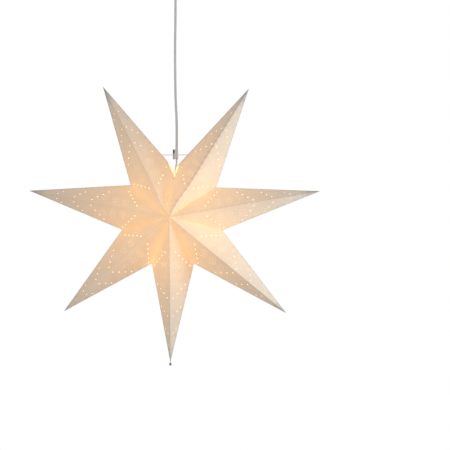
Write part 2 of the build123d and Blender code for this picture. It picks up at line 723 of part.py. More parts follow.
# The driver board stands in the cap
board_width = 2 * (root_radius - lamp_cap_wall - board_edge)
board_top = thread_top - thread_pitch
pieces["driver_board"] = Pos(0, 0, board_top) * Box(board_width, board_thick, board_height, align=down)
board_foot = board_top - board_height

# The glass: a globe whose throat runs straight into a neck held in the cap's skirt
neck_radius = skirt_radius - lamp_cap_wall - fit
neck_glass_top = skirt_top - fit
throat_top = lamp_cap_rim - globe_neck_length
throat = radians(throat_angle)
throat_width = globe_radius * sin(throat) - neck_radius
globe_centre = throat_top - throat_width * tan(throat) - globe_radius * cos(throat)


def globe(inset, top):
    radius = globe_radius - inset
    neck = neck_radius - inset
    side_x = radius * sin(throat)
    side_z = globe_centre + radius * cos(throat)
    neck_z = side_z + (side_x - neck) * tan(throat)
    outline = Polyline((0, globe_centre - radius), (0, top), (neck, top), (neck, neck_z), (side_x, side_z))
    belly = ThreePointArc((side_x, side_z), (radius, globe_centre), (0, globe_centre - radius))
    return revolve(make_face(Plane.XZ * Curve([outline, belly])), Axis.Z)


pieces["bulb_glass"] = globe(0, neck_glass_top) - globe(globe_wall, neck_glass_top)

# The light sources stand in a ring round a glass stem, on wires at both their ends
filament_top = globe_centre + filament_length / 2 + filament_rise
filament_foot = filament_top - filament_length
stem_head_radius = neck_radius - globe_wall - fit
stem_neck = neck_glass_top - stem_head_thick
stem_foot = filament_foot - 2 * support_radius - stem_past_filaments
stem_head = Pos(0, 0, neck_glass_top) * Cylinder(stem_head_radius, stem_head_thick, align=down)
stem_rod = Pos(0, 0, stem_neck) * Cylinder(stem_radius, stem_neck - stem_foot, align=down)
pieces["bulb_stem"] = stem_head + stem_rod
filaments = []
wires = []
for i in range(filament_count):
    turn = radians(360 / filament_count * (i + 0.5))
    x, y = filament_ring * cos(turn), filament_ring * sin(turn)
    filaments.append(rod((x, y, filament_foot), (x, y, filament_top), filament_radius))
    stem_x, stem_y = stem_radius * cos(turn), stem_radius * sin(turn)
    past = 1 + filament_radius / filament_ring
    for wire_z_here in (filament_top + support_radius, filament_foot - support_radius):
        wires.append(rod((stem_x, stem_y, wire_z_here), (x * past, y * past, wire_z_here), support_radius))
for hand in (-1, 1):
    lead_x = hand * stem_head_radius / 2
    wires.append(rod((lead_x, 0, board_foot), (lead_x, 0, neck_glass_top), support_radius))
pieces["led_filaments"] = group(filaments)
pieces["filament_wires"] = group(wires)

for name, piece in pieces.items():
    print(name, "solids", len(piece.solids()), "volume", round(piece.volume, 1))

os.makedirs("parts", exist_ok=True)
for name, piece in pieces.items():
    export_step(piece, f"parts/{name}.step")
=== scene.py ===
import json
import math

import bmesh
import bpy
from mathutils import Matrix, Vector, geometry


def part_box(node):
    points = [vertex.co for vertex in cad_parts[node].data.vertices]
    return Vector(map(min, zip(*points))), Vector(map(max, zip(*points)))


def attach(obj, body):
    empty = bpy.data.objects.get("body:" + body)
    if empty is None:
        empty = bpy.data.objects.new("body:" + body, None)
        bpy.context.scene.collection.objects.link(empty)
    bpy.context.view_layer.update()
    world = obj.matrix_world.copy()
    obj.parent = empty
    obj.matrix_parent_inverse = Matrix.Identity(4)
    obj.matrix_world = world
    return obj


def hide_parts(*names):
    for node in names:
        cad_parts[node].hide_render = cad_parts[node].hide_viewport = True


# Paper star lantern, lit from inside. Metres; the origin is where its bracket meets the ceiling.
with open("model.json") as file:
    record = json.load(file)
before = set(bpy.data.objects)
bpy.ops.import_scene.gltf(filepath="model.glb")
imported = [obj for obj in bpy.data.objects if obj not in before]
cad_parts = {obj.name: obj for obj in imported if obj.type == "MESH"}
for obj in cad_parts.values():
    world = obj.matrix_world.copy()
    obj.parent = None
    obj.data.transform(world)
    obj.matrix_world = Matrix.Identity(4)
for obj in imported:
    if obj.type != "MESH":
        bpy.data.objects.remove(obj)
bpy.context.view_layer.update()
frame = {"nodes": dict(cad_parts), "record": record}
nodes = frame["nodes"]
starCentre = (-0.004, 0.00273, -0.475)
print("stage: frame loaded")


# Shader groups

def newGroup(name, inputs, outputs):
    # an empty shader group; inputs are (name, socket type, default), outputs (name, socket type)
    group = bpy.data.node_groups.new(name, "ShaderNodeTree")
    for label, kind, default in inputs:
        socket = group.interface.new_socket(name=label, in_out="INPUT", socket_type=kind)
        socket.default_value = default
    for label, kind in outputs:
        group.interface.new_socket(name=label, in_out="OUTPUT", socket_type=kind)
    return group, group.nodes.new("NodeGroupInput"), group.nodes.new("NodeGroupOutput")


def link(tree, start, end):
    tree.links.new(start, end)


def addNoise(tree, scale, detail, roughness=0.55):
    # noise on the object's own coordinates
    place = tree.nodes.new("ShaderNodeTexCoord")
    noise = tree.nodes.new("ShaderNodeTexNoise")
    noise.inputs["Scale"].default_value = scale
    noise.inputs["Detail"].default_value = detail
    noise.inputs["Roughness"].default_value = roughness
    link(tree, place.outputs["Object"], noise.inputs["Vector"])
    return noise


def addRange(tree, value, fromLow, fromHigh, toLow=0.0, toHigh=1.0):
    # a value moved from one range to another
    node = tree.nodes.new("ShaderNodeMapRange")
    ends = {"From Min": fromLow, "From Max": fromHigh, "To Min": toLow, "To Max": toHigh}
    for label, number in ends.items():
        if isinstance(number, (int, float)):
            node.inputs[label].default_value = number
        else:
            link(tree, number, node.inputs[label])
    link(tree, value, node.inputs["Value"])
    return node.outputs["Result"]


def addMath(tree, operation, first, second):
    node = tree.nodes.new("ShaderNodeMath")
    node.operation = operation
    for socket, value in zip(node.inputs, (first, second)):
        if isinstance(value, (int, float)):
            socket.default_value = value
        else:
            link(tree, value, socket)
    return node.outputs["Value"]


grainLook = {
    "scale": 900.0,
    "detail": 3.0,
    "broadScale": 45.0,
    "broadDetail": 4.0,
    "roughFrom": (0.1, 0.45),   # the mixed noise at the lowest and at the highest roughness
    "mottleFrom": (0.3, 0.7),   # the noise at the first and at the second colour
    "bumpHeight": 0.0002,
}


def makeFineGrain():
    # moulded, cast or drawn surface: a soft mottle, a fine grain and its height
    group, start, end = newGroup(
        "fineGrain",
        [
            ("Scale", "NodeSocketFloat", grainLook["scale"]),
            ("Low", "NodeSocketFloat", 0.3),
            ("High", "NodeSocketFloat", 0.5),
        ],
        [("Roughness", "NodeSocketFloat"), ("Height", "NodeSocketFloat"), ("Mottle", "NodeSocketFloat")],
    )
    fine = addNoise(group, grainLook["scale"], grainLook["detail"])
    link(group, start.outputs["Scale"], fine.inputs["Scale"])
    broad = addNoise(group, grainLook["broadScale"], grainLook["broadDetail"])
    mixed = addMath(group, "MULTIPLY", fine.outputs["Fac"], broad.outputs["Fac"])
    rough = addRange(group, mixed, *grainLook["roughFrom"], start.outputs["Low"], start.outputs["High"])
    link(group, rough, end.inputs["Roughness"])
    link(group, fine.outputs["Fac"], end.inputs["Height"])
    link(group, broad.outputs["Fac"], end.inputs["Mottle"])
    return group


fineGrain = makeFineGrain()


def placeGroup(tree, group, **values):
    node = tree.nodes.new("ShaderNodeGroup")
    node.node_tree = group
    for label, value in values.items():
        node.inputs[label].default_value = value
    return node


def mixColours(tree, mask, first, second):
    # two colours mixed by a mask
    mix = tree.nodes.new("ShaderNodeMix")
    mix.data_type = "RGBA"
    maskSocket, firstSocket, secondSocket = mix.inputs[0], mix.inputs[6], mix.inputs[7]
    for socket, value in ((firstSocket, first), (secondSocket, second)):
        if isinstance(value, tuple):
            socket.default_value = (*value, 1.0)
        else:
            link(tree, value, socket)
    link(tree, mask, maskSocket)
    return mix.outputs[2]


def mottleMask(tree, noise):
    return addRange(tree, noise, *grainLook["mottleFrom"])


def addBump(tree, height, shader, strength):
    bump = tree.nodes.new("ShaderNodeBump")
    bump.inputs["Strength"].default_value = strength
    bump.inputs["Distance"].default_value = grainLook["bumpHeight"]
    link(tree, height, bump.inputs["Height"])
    link(tree, bump.outputs["Normal"], shader.inputs["Normal"])


def newMaterial(name):
    material = bpy.data.materials.new(name)
    material.use_nodes = True
    tree = material.node_tree
    return material, tree, tree.nodes["Principled BSDF"]


def newGrained(name, scale, rough):
    # a material whose roughness follows the fine grain
    material, tree, shader = newMaterial(name)
    grain = placeGroup(tree, fineGrain, Scale=scale, Low=rough[0], High=rough[1])
    link(tree, grain.outputs["Roughness"], shader.inputs["Roughness"])
    return material, tree, shader, grain


# Plain solid materials, by the slot that they fill

plainLooks = {
    "bright_wire": {
        "name": "brightWire", "low": (0.17, 0.19, 0.22), "high": (0.26, 0.28, 0.31),
        "rough": (0.25, 0.4), "metallic": 0.6, "grain": 1400.0, "bump": 0.05,
    },
    "bead_chrome": {
        "name": "beadChrome", "low": (0.16, 0.15, 0.15), "high": (0.26, 0.25, 0.25),
        "rough": (0.12, 0.22), "metallic": 0.9, "grain": 1500.0, "bump": 0.03,
    },
    "zinc_steel": {
        "name": "zincSteel", "low": (0.58, 0.60, 0.63), "high": (0.72, 0.73, 0.75),
        "rough": (0.25, 0.45), "metallic": 1.0, "grain": 700.0, "bump": 0.1,
    },
    "white_plastic": {
        "name": "whitePlastic", "low": (0.80, 0.80, 0.79), "high": (0.86, 0.86, 0.85),
        "rough": (0.22, 0.36), "metallic": 0.0, "grain": 1500.0, "bump": 0.04,
    },
    "white_shell": {
        "name": "whiteShell", "low": (0.76, 0.76, 0.74), "high": (0.84, 0.84, 0.82),
        "rough": (0.45, 0.6), "metallic": 0.0, "grain": 2200.0, "bump": 0.2,
    },
    "clear_nylon": {
        "name": "milkyNylon", "low": (0.66, 0.68, 0.69), "high": (0.76, 0.78, 0.79),
        "rough": (0.3, 0.45), "metallic": 0.0, "grain": 1300.0, "bump": 0.06,
    },
    "cord_jacket": {
        "name": "cordJacket", "low": (0.67, 0.67, 0.68), "high": (0.77, 0.77, 0.78),
        "rough": (0.42, 0.58), "metallic": 0.0, "grain": 1800.0, "bump": 0.12,
    },
    "brown_core": {
        "name": "brownCore", "low": (0.10, 0.035, 0.015), "high": (0.15, 0.055, 0.025),
        "rough": (0.3, 0.45), "metallic": 0.0, "grain": 900.0, "bump": 0.1,
    },
    "blue_core": {
        "name": "blueCore", "low": (0.02, 0.07, 0.30), "high": (0.03, 0.10, 0.38),
        "rough": (0.3, 0.45), "metallic": 0.0, "grain": 900.0, "bump": 0.1,
    },
    "contact_brass": {
        "name": "contactBrass", "low": (0.68, 0.46, 0.17), "high": (0.80, 0.58, 0.25),
        "rough": (0.2, 0.4), "metallic": 1.0, "grain": 800.0, "bump": 0.08,
    },
    "white_ceramic": {
        "name": "whiteCeramic", "low": (0.74, 0.72, 0.68), "high": (0.82, 0.80, 0.76),
        "rough": (0.5, 0.7), "metallic": 0.0, "grain": 1600.0, "bump": 0.25,
    },
    "nickel_plate": {
        "name": "nickelPlate", "low": (0.52, 0.50, 0.47), "high": (0.70, 0.68, 0.64),
        "rough": (0.12, 0.26), "metallic": 1.0, "grain": 1100.0, "bump": 0.05,
    },
    "black_glass": {
        "name": "blackGlass", "low": (0.01, 0.01, 0.012), "high": (0.02, 0.02, 0.022),
        "rough": (0.08, 0.16), "metallic": 0.0, "grain": 900.0, "bump": 0.03,
    },
    "circuit_board": {
        "name": "circuitBoard", "low": (0.01, 0.09, 0.03), "high": (0.02, 0.14, 0.05),
        "rough": (0.3, 0.45), "metallic": 0.0, "grain": 900.0, "bump": 0.1,
    },
    "hook_and_loop": {
        "name": "hookAndLoop", "low": (0.74, 0.73, 0.70), "high": (0.84, 0.83, 0.80),
        "rough": (0.8, 0.95), "metallic": 0.0, "grain": 3200.0, "bump": 0.8,
    },
}


def makePlain(look):
    material, tree, shader, grain = newGrained(look["name"], look["grain"], look["rough"])
    mottle = mottleMask(tree, grain.outputs["Mottle"])
    link(tree, mixColours(tree, mottle, look["low"], look["high"]), shader.inputs["Base Color"])
    shader.inputs["Metallic"].default_value = look["metallic"]
    addBump(tree, grain.outputs["Height"], shader, look["bump"])
    return material


finish = {slotName: makePlain(look) for slotName, look in plainLooks.items()}


# The lit bulb

bulbLook = {
    "frost": (1.0, 0.80, 0.56),
    "frostPale": (0.94, 0.90, 0.84),
    "frostRough": (0.3, 0.42),
    "frostGrain": 1800.0,
    "frostBump": 0.05,
    "glow": (1.0, 0.66, 0.34),
    "glowPale": (1.0, 0.71, 0.40),
    "glowStrength": 5.0,
    "clear": (0.95, 0.97, 0.97),
    "clearRough": (0.02, 0.08),
    "clearGrain": 600.0,
    "filament": (0.95, 0.66, 0.18),
    "filamentPale": (0.98, 0.76, 0.30),
    "filamentRough": (0.5, 0.7),
    "filamentGrain": 2400.0,
    "filamentGlow": (1.0, 0.60, 0.22),
    "filamentStrength": 12.0,
}


def makeLitGlass():
    # frosted glass with the filaments' light behind it
    material, tree, shader, grain = newGrained("litGlass", bulbLook["frostGrain"], bulbLook["frostRough"])
    haze = mottleMask(tree, grain.outputs["Mottle"])
    frost = mixColours(tree, haze, bulbLook["frost"], bulbLook["frostPale"])
    glow = mixColours(tree, haze, bulbLook["glow"], bulbLook["glowPale"])
    link(tree, frost, shader.inputs["Base Color"])
    link(tree, glow, shader.inputs["Emission Color"])
    shader.inputs["Emission Strength"].default_value = bulbLook["glowStrength"]
    addBump(tree, grain.outputs["Height"], shader, bulbLook["frostBump"])
    return material


def makeClearGlass():
    material, _, shader, _ = newGrained("clearGlass", bulbLook["clearGrain"], bulbLook["clearRough"])
    shader.inputs["Base Color"].default_value = (*bulbLook["clear"], 1.0)
    shader.inputs["Transmission Weight"].default_value = 1.0
    return material


def makeFilament():
    material, tree, shader, grain = newGrained(
        "filament", bulbLook["filamentGrain"], bulbLook["filamentRough"]
    )
    tone = mottleMask(tree, grain.outputs["Height"])
    colour = mixColours(tree, tone, bulbLook["filament"], bulbLook["filamentPale"])
    link(tree, colour, shader.inputs["Base Color"])
    shader.inputs["Emission Color"].default_value = (*bulbLook["filamentGlow"], 1.0)
    shader.inputs["Emission Strength"].default_value = bulbLook["filamentStrength"]
    return material


# The clip on the cord

clipLook = {
    "dark": (0.055, 0.05, 0.048),
    "paintedSheen": (0.50, 0.455, 0.42),
    "sheenFrom": (0.25, 0.6),    # the noise where the painted sheen is least and where it is full
    "sheenLeast": 0.4,
    "strip": (0.78, 0.76, 0.74),
    "stripFrom": -0.0014,       # across the clip, where the painted highlight strip round the cord begins
    "stripFade": 0.0003,
    "darkFrom": -0.353,         # up the clip, where the lower part with the painted sheen ends
    "darkFade": 0.003,
    "rough": (0.3, 0.5),
    "grain": 1200.0,
    "metallic": 0.3,
    "bump": 0.1,
}


def makeClipSteel():
    # a dark bar, greyer in its lower part from a painted sheen, with a light strip round the cord that is a
    # painted highlight
    material, tree, shader, grain = newGrained("darkSteel", clipLook["grain"], clipLook["rough"])
    place = tree.nodes.new("ShaderNodeTexCoord")
    split = tree.nodes.new("ShaderNodeSeparateXYZ")
    link(tree, place.outputs["Object"], split.inputs["Vector"])
    darkFrom, stripFrom = clipLook["darkFrom"], clipLook["stripFrom"]
    low = addRange(tree, split.outputs["Z"], darkFrom - clipLook["darkFade"], darkFrom, 1.0, 0.0)
    # the greyer lower part is a painted sheen, mottled by the grain
    paintedSheen = addRange(tree, grain.outputs["Mottle"], *clipLook["sheenFrom"], clipLook["sheenLeast"], 1.0)
    bar = mixColours(tree, addMath(tree, "MULTIPLY", low, paintedSheen), clipLook["dark"], clipLook["paintedSheen"])
    # the light strip round the cord is a painted highlight
    strip = addRange(tree, split.outputs["X"], stripFrom, stripFrom + clipLook["stripFade"])
    link(tree, mixColours(tree, strip, bar, clipLook["strip"]), shader.inputs["Base Color"])
    shader.inputs["Metallic"].default_value = clipLook["metallic"]
    addBump(tree, grain.outputs["Height"], shader, clipLook["bump"])
    return material


# The paper: thin card that lets the bulb's light through, painted onto it as a glow

paperLook = {
    "card": (0.83, 0.77, 0.685),
    "cardDeep": (0.79, 0.725, 0.64),
    "line": (0.46, 0.435, 0.41),    # painted shade along folds and outlines
    "shadeLineFrom": (0.2, 1.0),
    "shadeLineStrength": 0.8,
    "lineGlow": 0.6,                # the share of the painted glow that a painted shade line lets through
    # the grey towards the tips is painted shade
    "tip": (0.50, 0.49, 0.475),
    "tipShadeFrom": (0.238, 0.272),      # from the star's centre, where painted shade turns the card grey
    "tipGlow": 0.15,
    "glow": (1.0, 0.45, 0.08),
    "glowNear": 0.42,               # the painted light through the card at the first glowFrom
    "glowFar": 0.08,                # and at the second
    "glowFrom": (0.075, 0.25),      # from the star's centre
    "glowPower": 1.35,
    "cloudGlow": (1.04, 0.94),
    "seamGlow": 0.22,               # more painted glow where the glued papers part
    "inside": (0.74, 0.68, 0.54),
    "insideGlow": (1.0, 0.84, 0.50),
    "insideGlowFar": (1.0, 0.78, 0.72),
    "insideNear": 0.62,
    "insideFar": 0.34,
    "rough": (0.78, 0.92),
    "specular": 0.2,
    "bump": 0.2,
    "fibreScale": 700.0,
    "fibreDetail": 6.0,
    "fibreRoughness": 0.65,
    "cloudScale": 38.0,
    "cloudDetail": 3.0,
    "strandScale": 420.0,
    "strandWidth": 0.12,
}


def makePaperFibre():
    # the card's cloudiness, its fibres and their height
    group, start, end = newGroup(
        "paperFibre",
        [("Scale", "NodeSocketFloat", paperLook["fibreScale"])],
        [("Cloud", "NodeSocketFloat"), ("Fibre", "NodeSocketFloat"), ("Height", "NodeSocketFloat")],
    )
    fine = addNoise(group, paperLook["fibreScale"], paperLook["fibreDetail"], paperLook["fibreRoughness"])
    link(group, start.outputs["Scale"], fine.inputs["Scale"])
    cloud = addNoise(group, paperLook["cloudScale"], paperLook["cloudDetail"])
    strand = group.nodes.new("ShaderNodeTexVoronoi")
    strand.feature = "DISTANCE_TO_EDGE"
    strand.inputs["Scale"].default_value = paperLook["strandScale"]
    place = group.nodes.new("ShaderNodeTexCoord")
    link(group, place.outputs["Object"], strand.inputs["Vector"])
    fibre = addRange(group, strand.outputs["Distance"], 0.0, paperLook["strandWidth"], 1.0, 0.0)
    link(group, mottleMask(group, cloud.outputs["Fac"]), end.inputs["Cloud"])
    link(group, fibre, end.inputs["Fibre"])
    link(group, addMath(group, "ADD", fine.outputs["Fac"], cloud.outputs["Fac"]), end.inputs["Height"])
    return group


def makeLightFall():
    # how much of the bulb's painted light reaches a place, from its distance to the star's centre
    group, start, end = newGroup(
        "lightFall",
        [("Near", "NodeSocketFloat", 1.0), ("Far", "NodeSocketFloat", 0.3)],
        [("Light", "NodeSocketFloat"), ("TipShade", "NodeSocketFloat")],
    )
    place = group.nodes.new("ShaderNodeTexCoord")
    away = group.nodes.new("ShaderNodeVectorMath")
    away.operation = "DISTANCE"
    away.inputs[1].default_value = starCentre
    link(group, place.outputs["Object"], away.inputs[0])
    share = addRange(group, away.outputs["Value"], *paperLook["glowFrom"], 1.0, 0.0)
    curved = addMath(group, "POWER", share, paperLook["glowPower"])
    light = addRange(group, curved, 0.0, 1.0, start.outputs["Far"], start.outputs["Near"])
    link(group, light, end.inputs["Light"])
    # the share of painted shade towards the tips
    link(group, addRange(group, away.outputs["Value"], *paperLook["tipShadeFrom"]), end.inputs["TipShade"])
    return group


paperFibre = makePaperFibre()
lightFall = makeLightFall()


def newPaper(name, pale, near, far):
    # what both sides of the card share: its clouded colour, its surface, and the bulb's light on it, painted
    # as a glow
    material, tree, shader = newMaterial(name)
    fibre = placeGroup(tree, paperFibre, Scale=paperLook["fibreScale"])
    light = placeGroup(tree, lightFall, Near=near, Far=far)
    colour = mixColours(tree, fibre.outputs["Cloud"], pale, paperLook["cardDeep"])
    rough = addRange(tree, fibre.outputs["Fibre"], 0.0, 1.0, *paperLook["rough"])
    link(tree, rough, shader.inputs["Roughness"])
    shader.inputs["Specular IOR Level"].default_value = paperLook["specular"]
    addBump(tree, fibre.outputs["Height"], shader, paperLook["bump"])
    return material, tree, shader, fibre, light, colour


def readAttribute(tree, name):
    node = tree.nodes.new("ShaderNodeAttribute")
    node.attribute_name = name
    return node.outputs["Fac"]


def makePaper():
    # the card's outside: lit from the room, with the bulb's warm light through it painted in as a glow
    material, tree, shader, fibre, light, colour = newPaper(
        "lanternPaper", paperLook["card"], paperLook["glowNear"], paperLook["glowFar"]
    )
    # painted shade: a darker line along ridges, the seam and the outline
    line = addRange(tree, readAttribute(tree, "fold"), *paperLook["shadeLineFrom"], 0.0, paperLook["shadeLineStrength"])
    # painted shade greys the card towards the tips and dims its glow there
    colour = mixColours(tree, light.outputs["TipShade"], colour, paperLook["tip"])
    colour = mixColours(tree, line, colour, paperLook["line"])
    link(tree, colour, shader.inputs["Base Color"])
    cloudy = addRange(tree, fibre.outputs["Cloud"], 0.0, 1.0, *paperLook["cloudGlow"])
    shaded = addRange(tree, line, 0.0, 1.0, 1.0, paperLook["lineGlow"])
    fading = addRange(tree, light.outputs["TipShade"], 0.0, 1.0, 1.0, paperLook["tipGlow"])
    leak = addMath(tree, "MULTIPLY", readAttribute(tree, "parted"), paperLook["seamGlow"])
    # the painted glow: stronger near the centre, weaker on painted shade lines and at the tips, with more
    # where papers part
    strength = addMath(tree, "MULTIPLY", light.outputs["Light"], cloudy)
    strength = addMath(tree, "MULTIPLY", strength, shaded)
    strength = addMath(tree, "ADD", strength, leak)
    strength = addMath(tree, "MULTIPLY", strength, fading)
    link(tree, strength, shader.inputs["Emission Strength"])
    shader.inputs["Emission Color"].default_value = (*paperLook["glow"], 1.0)
    return material


def makePaperInside():
    # the card's inside, bright from a painted glow standing in for the bulb beside it
    near, far = paperLook["insideNear"], paperLook["insideFar"]
    material, tree, shader, _, light, colour = newPaper(
        "lanternPaperInside", paperLook["inside"], near, far
    )
    link(tree, colour, shader.inputs["Base Color"])
    link(tree, light.outputs["Light"], shader.inputs["Emission Strength"])
    closeness = addRange(tree, light.outputs["Light"], far, near)
    glow = mixColours(tree, closeness, paperLook["insideGlowFar"], paperLook["insideGlow"])
    link(tree, glow, shader.inputs["Emission Color"])
    return material


finish["dark_steel"] = makeClipSteel()
finish["frosted_glass"] = makeLitGlass()
finish["clear_glass"] = makeClearGlass()
finish["filament_yellow"] = makeFilament()
finish["lantern_paper"] = makePaper()
paperInside = makePaperInside()
print("stage: materials made")

slotOf = {part["node"]: part["material_slot"] for part in frame["record"]["subparts"]}
ownLook = {"tip_bead": "bead_chrome"}
for nodeName, cadPiece in nodes.items():
    cadPiece.data.materials.clear()
    cadPiece.data.materials.append(finish[ownLook.get(nodeName, slotOf[nodeName])])
print("stage: finishes on the frame's pieces")


def buildPiece(builder, name, *materials):
    # the builder's mesh as an object with its materials
    mesh = bpy.data.meshes.new(name)
    builder.to_mesh(mesh)
    builder.free()
    for material in materials:
        mesh.materials.append(material)
    piece = bpy.data.objects.new(name, mesh)
    bpy.context.scene.collection.objects.link(piece)
    return piece


# The folded paper points

star = {
    "centre": Vector(starCentre),
    "pointReach": 0.273,
    "valleyReach": 0.093,
    "halfDepth": 0.075,
    "seamAngle": 8.0,
    "lean": -1.0,
    # how the opened paper has settled: further out, further round in degrees
    "tipSettle": [
        (0.006, -0.1), (0.0, 0.2), (-0.0092, 1.2), (-0.0106, -0.1), (-0.0027, 0.95), (0.002, 1.0),
        (0.005, 0.0),
    ],
    "valleySettle": [
        (0.0083, -2.0), (0.0036, -2.1), (-0.0024, 0.3), (-0.0025, 0.9), (0.0, 2.7), (0.0052, 1.6),
    ],
    "pointNames": ["top_left", "left", "lower_left", "bottom", "lower_right", "right", "top_right"],
    "seamGap": 0.0012,
    "mouthLeft": (-0.0103, 0.106),  # the mouth's corners, across and up from the star's centre
    "mouthRight": (0.011, 0.100),
    "mouthFrontDepth": 0.040,
    "mouthBackDepth": 0.010,
    "thickness": 0.00035,
    "gluing": 0.00004,
    "flapWidth": 0.007,
    "flapRows": (0.0, 0.14, 0.55, 1.0),     # across the flap
    "flapSlant": (1.2, -0.6),       # how its two ends are cut back, in widths
    "bulge": 0.0012,                # how far the middle of a face stands out
    "bulgeReach": 0.02,
    "bulgePower": 0.8,
    # how dark each point's ridge line is painted, as painted shade
    "ridgeShades": [0.5, 0.3, 0.15, 0.45, 0.4, 0.45, 0.8],
    # painted glow where the papers part, for each valley and for the seam
    "valleyPartings": [0.1, 0.15, 1.0, 0.2, 0.1, 0.15],
    "seamParting": 0.8,
    "seamShadeLine": 0.35,
    "rimShadeLine": 0.8,                 # painted shade along the outline
    "bowReach": 0.06,               # how far to each side the paper follows the seam's bow
    "seamBow": -0.006,              # how far the seam's front edge leans aside between its pads
    "seamBowPower": 1.3,
    "seamBowDepth": 0.02,
    "mouthBow": 0.0085,             # how far the mouth's left edge curves towards the cord
    "mouthBowPower": 0.85,
    "mouthBowDepth": 0.004,
    "mouthBowFrom": 0.8,            # where that curve begins, as a share of the shut seam's height
}
punching = {
    "radius": 0.0013,
    "sides": 12,
    # first hole (along the point, off its fold), step (along, off), number of holes
    "rows": [
        ((0.065, 0.0088), (0.0058, 0.0059), 5),
        ((0.151, 0.005), (-0.0088, 0.0066), 4),
        ((0.185, 0.0046), (-0.0088, 0.0062), 3),
        ((0.218, 0.0043), (-0.0094, 0.0052), 2),
    ],
    "burstRadius": 0.00055,
    "burstSides": 6,
    "burstRings": [(0.0, 1, 0.0), (0.0034, 6, 0.0), (0.0062, 8, 0.5)],  # radius, holes, turn in steps
    "bursts": [(0.088, 0.011), (0.108, 0.0125), (0.128, 0.013)],
}
fine = {
    "edgeStep": 0.012,
    "grid": 0.009,
    "creaseRing": 0.0009,       # from an edge to the first row of vertices inside it
    "fadeRing": 0.0024,         # and to the second, where a fold's painted shade line has faded
    "ringShare": 0.8,
    "holeMargin": 0.0006,       # least paper between a hole and an edge or another vertex
    "holeSpacing": 0.0004,      # and between two holes
    "holeShare": 0.96,
    "partedWidth": 0.016,
    "partedPower": 1.5,
    "partedRise": 1.2,
    "seamWidth": 0.008,
    "seamRise": 0.8,
    "flatError": 1e-7,
    "weld": 2e-6,
    "sliver": 1e-6,
}


def spot(bearing, reach):
    # a place by its direction in the star's plane and its distance from the centre
    turn = math.radians(bearing)
    return star["centre"] + Vector((reach * math.cos(turn), 0.0, reach * math.sin(turn)))


pointCount = len(star["pointNames"])
sector = (360.0 - star["seamAngle"]) / pointCount
firstBearing = 90.0 + star["lean"] + star["seamAngle"] / 2 + sector / 2
bearings = [firstBearing + sector * i + star["tipSettle"][i][1] for i in range(pointCount)]
reaches = [star["pointReach"] + star["tipSettle"][i][0] for i in range(pointCount)]
tips = [spot(bearings[i], reaches[i]) for i in range(pointCount)]
valleys = [
    spot(firstBearing + sector * (i + 0.5) + turn, star["valleyReach"] + out)
    for i, (out, turn) in enumerate(star["valleySettle"])
]
front = star["centre"] + Vector((0, -star["halfDepth"], 0))
back = star["centre"] + Vector((0, star["halfDepth"], 0))
mouths = [star["centre"] + Vector((x, 0, z)) for x, z in (star["mouthLeft"], star["mouthRight"])]
mouthHeight = (star["mouthLeft"][1] + star["mouthRight"][1]) / 2
shutHeight = mouthHeight - star["mouthFrontDepth"]


def seamEnd(hand, side, depth):
    # where the shut part of the seam ends, on its left or right paper, in front or behind
    return star["centre"] + Vector((
        hand * star["seamGap"] / 2, side * star["halfDepth"] * depth / mouthHeight, mouthHeight - depth
    ))


seamEnds = [
    [seamEnd(hand, -1, star["mouthFrontDepth"]), seamEnd(hand, 1, star["mouthBackDepth"])]
    for hand in (-1, 1)
]


def edgePoints(start, end):
    # places along a fold, the same from either side of it
    steps = max(2, round((end - start).length / fine["edgeStep"]))
    return [start.lerp(end, k / steps) for k in range(steps + 1)]


def circlePoints(middle, radius, sides):
    turns = [2 * math.pi * k / sides for k in range(sides)]
    return [middle + Vector((radius * math.cos(turn), radius * math.sin(turn))) for turn in turns]


def flatSpots(index):
    # every punched place of one point as (place in the star's plane, radius, sides)
    turn = math.radians(bearings[index])
    along = Vector((math.cos(turn), math.sin(turn)))
    across = Vector((-along.y, along.x))
    stretch = reaches[index] / star["pointReach"]
    origin = Vector((star["centre"].x, star["centre"].z))
    spots = []
    for hand in (-1, 1):
        for (startAlong, startOff), (stepAlong, stepOff), count in punching["rows"]:
            for k in range(count):
                place = origin + along * (startAlong + stepAlong * k) * stretch
                place = place + across * hand * (startOff + stepOff * k)
                spots.append((place, punching["radius"], punching["sides"]))
        for middleAlong, middleOff in punching["bursts"]:
            middle = origin + along * middleAlong * stretch + across * hand * middleOff
            for ring, count, turned in punching["burstRings"]:
                for k in range(count):
                    angle = 2 * math.pi * (k + turned) / count
                    place = middle + along * ring * math.cos(angle) + across * ring * math.sin(angle)
                    spots.append((place, punching["burstRadius"], punching["burstSides"]))
    return spots


def depthOver(face, place):
    # the depth of a face over a place in the star's plane, or None beside it
    a, b, c = face
    area = (b.x - a.x) * (c.z - a.z) - (c.x - a.x) * (b.z - a.z)
    shareB = ((place.x - a.x) * (c.z - a.z) - (c.x - a.x) * (place.y - a.z)) / area
    shareC = ((b.x - a.x) * (place.y - a.z) - (place.x - a.x) * (b.z - a.z)) / area
    if min(shareB, shareC, 1 - shareB - shareC) < 0:
        return None
    return a.y + shareB * (b.y - a.y) + shareC * (c.y - a.y)


def outlineRun(start, end):
    # an edge's places in the face's own order, always stepped from its end nearer the front
    if (start - front).length <= (end - front).length:
        return edgePoints(start, end)
    return edgePoints(end, start)[::-1]


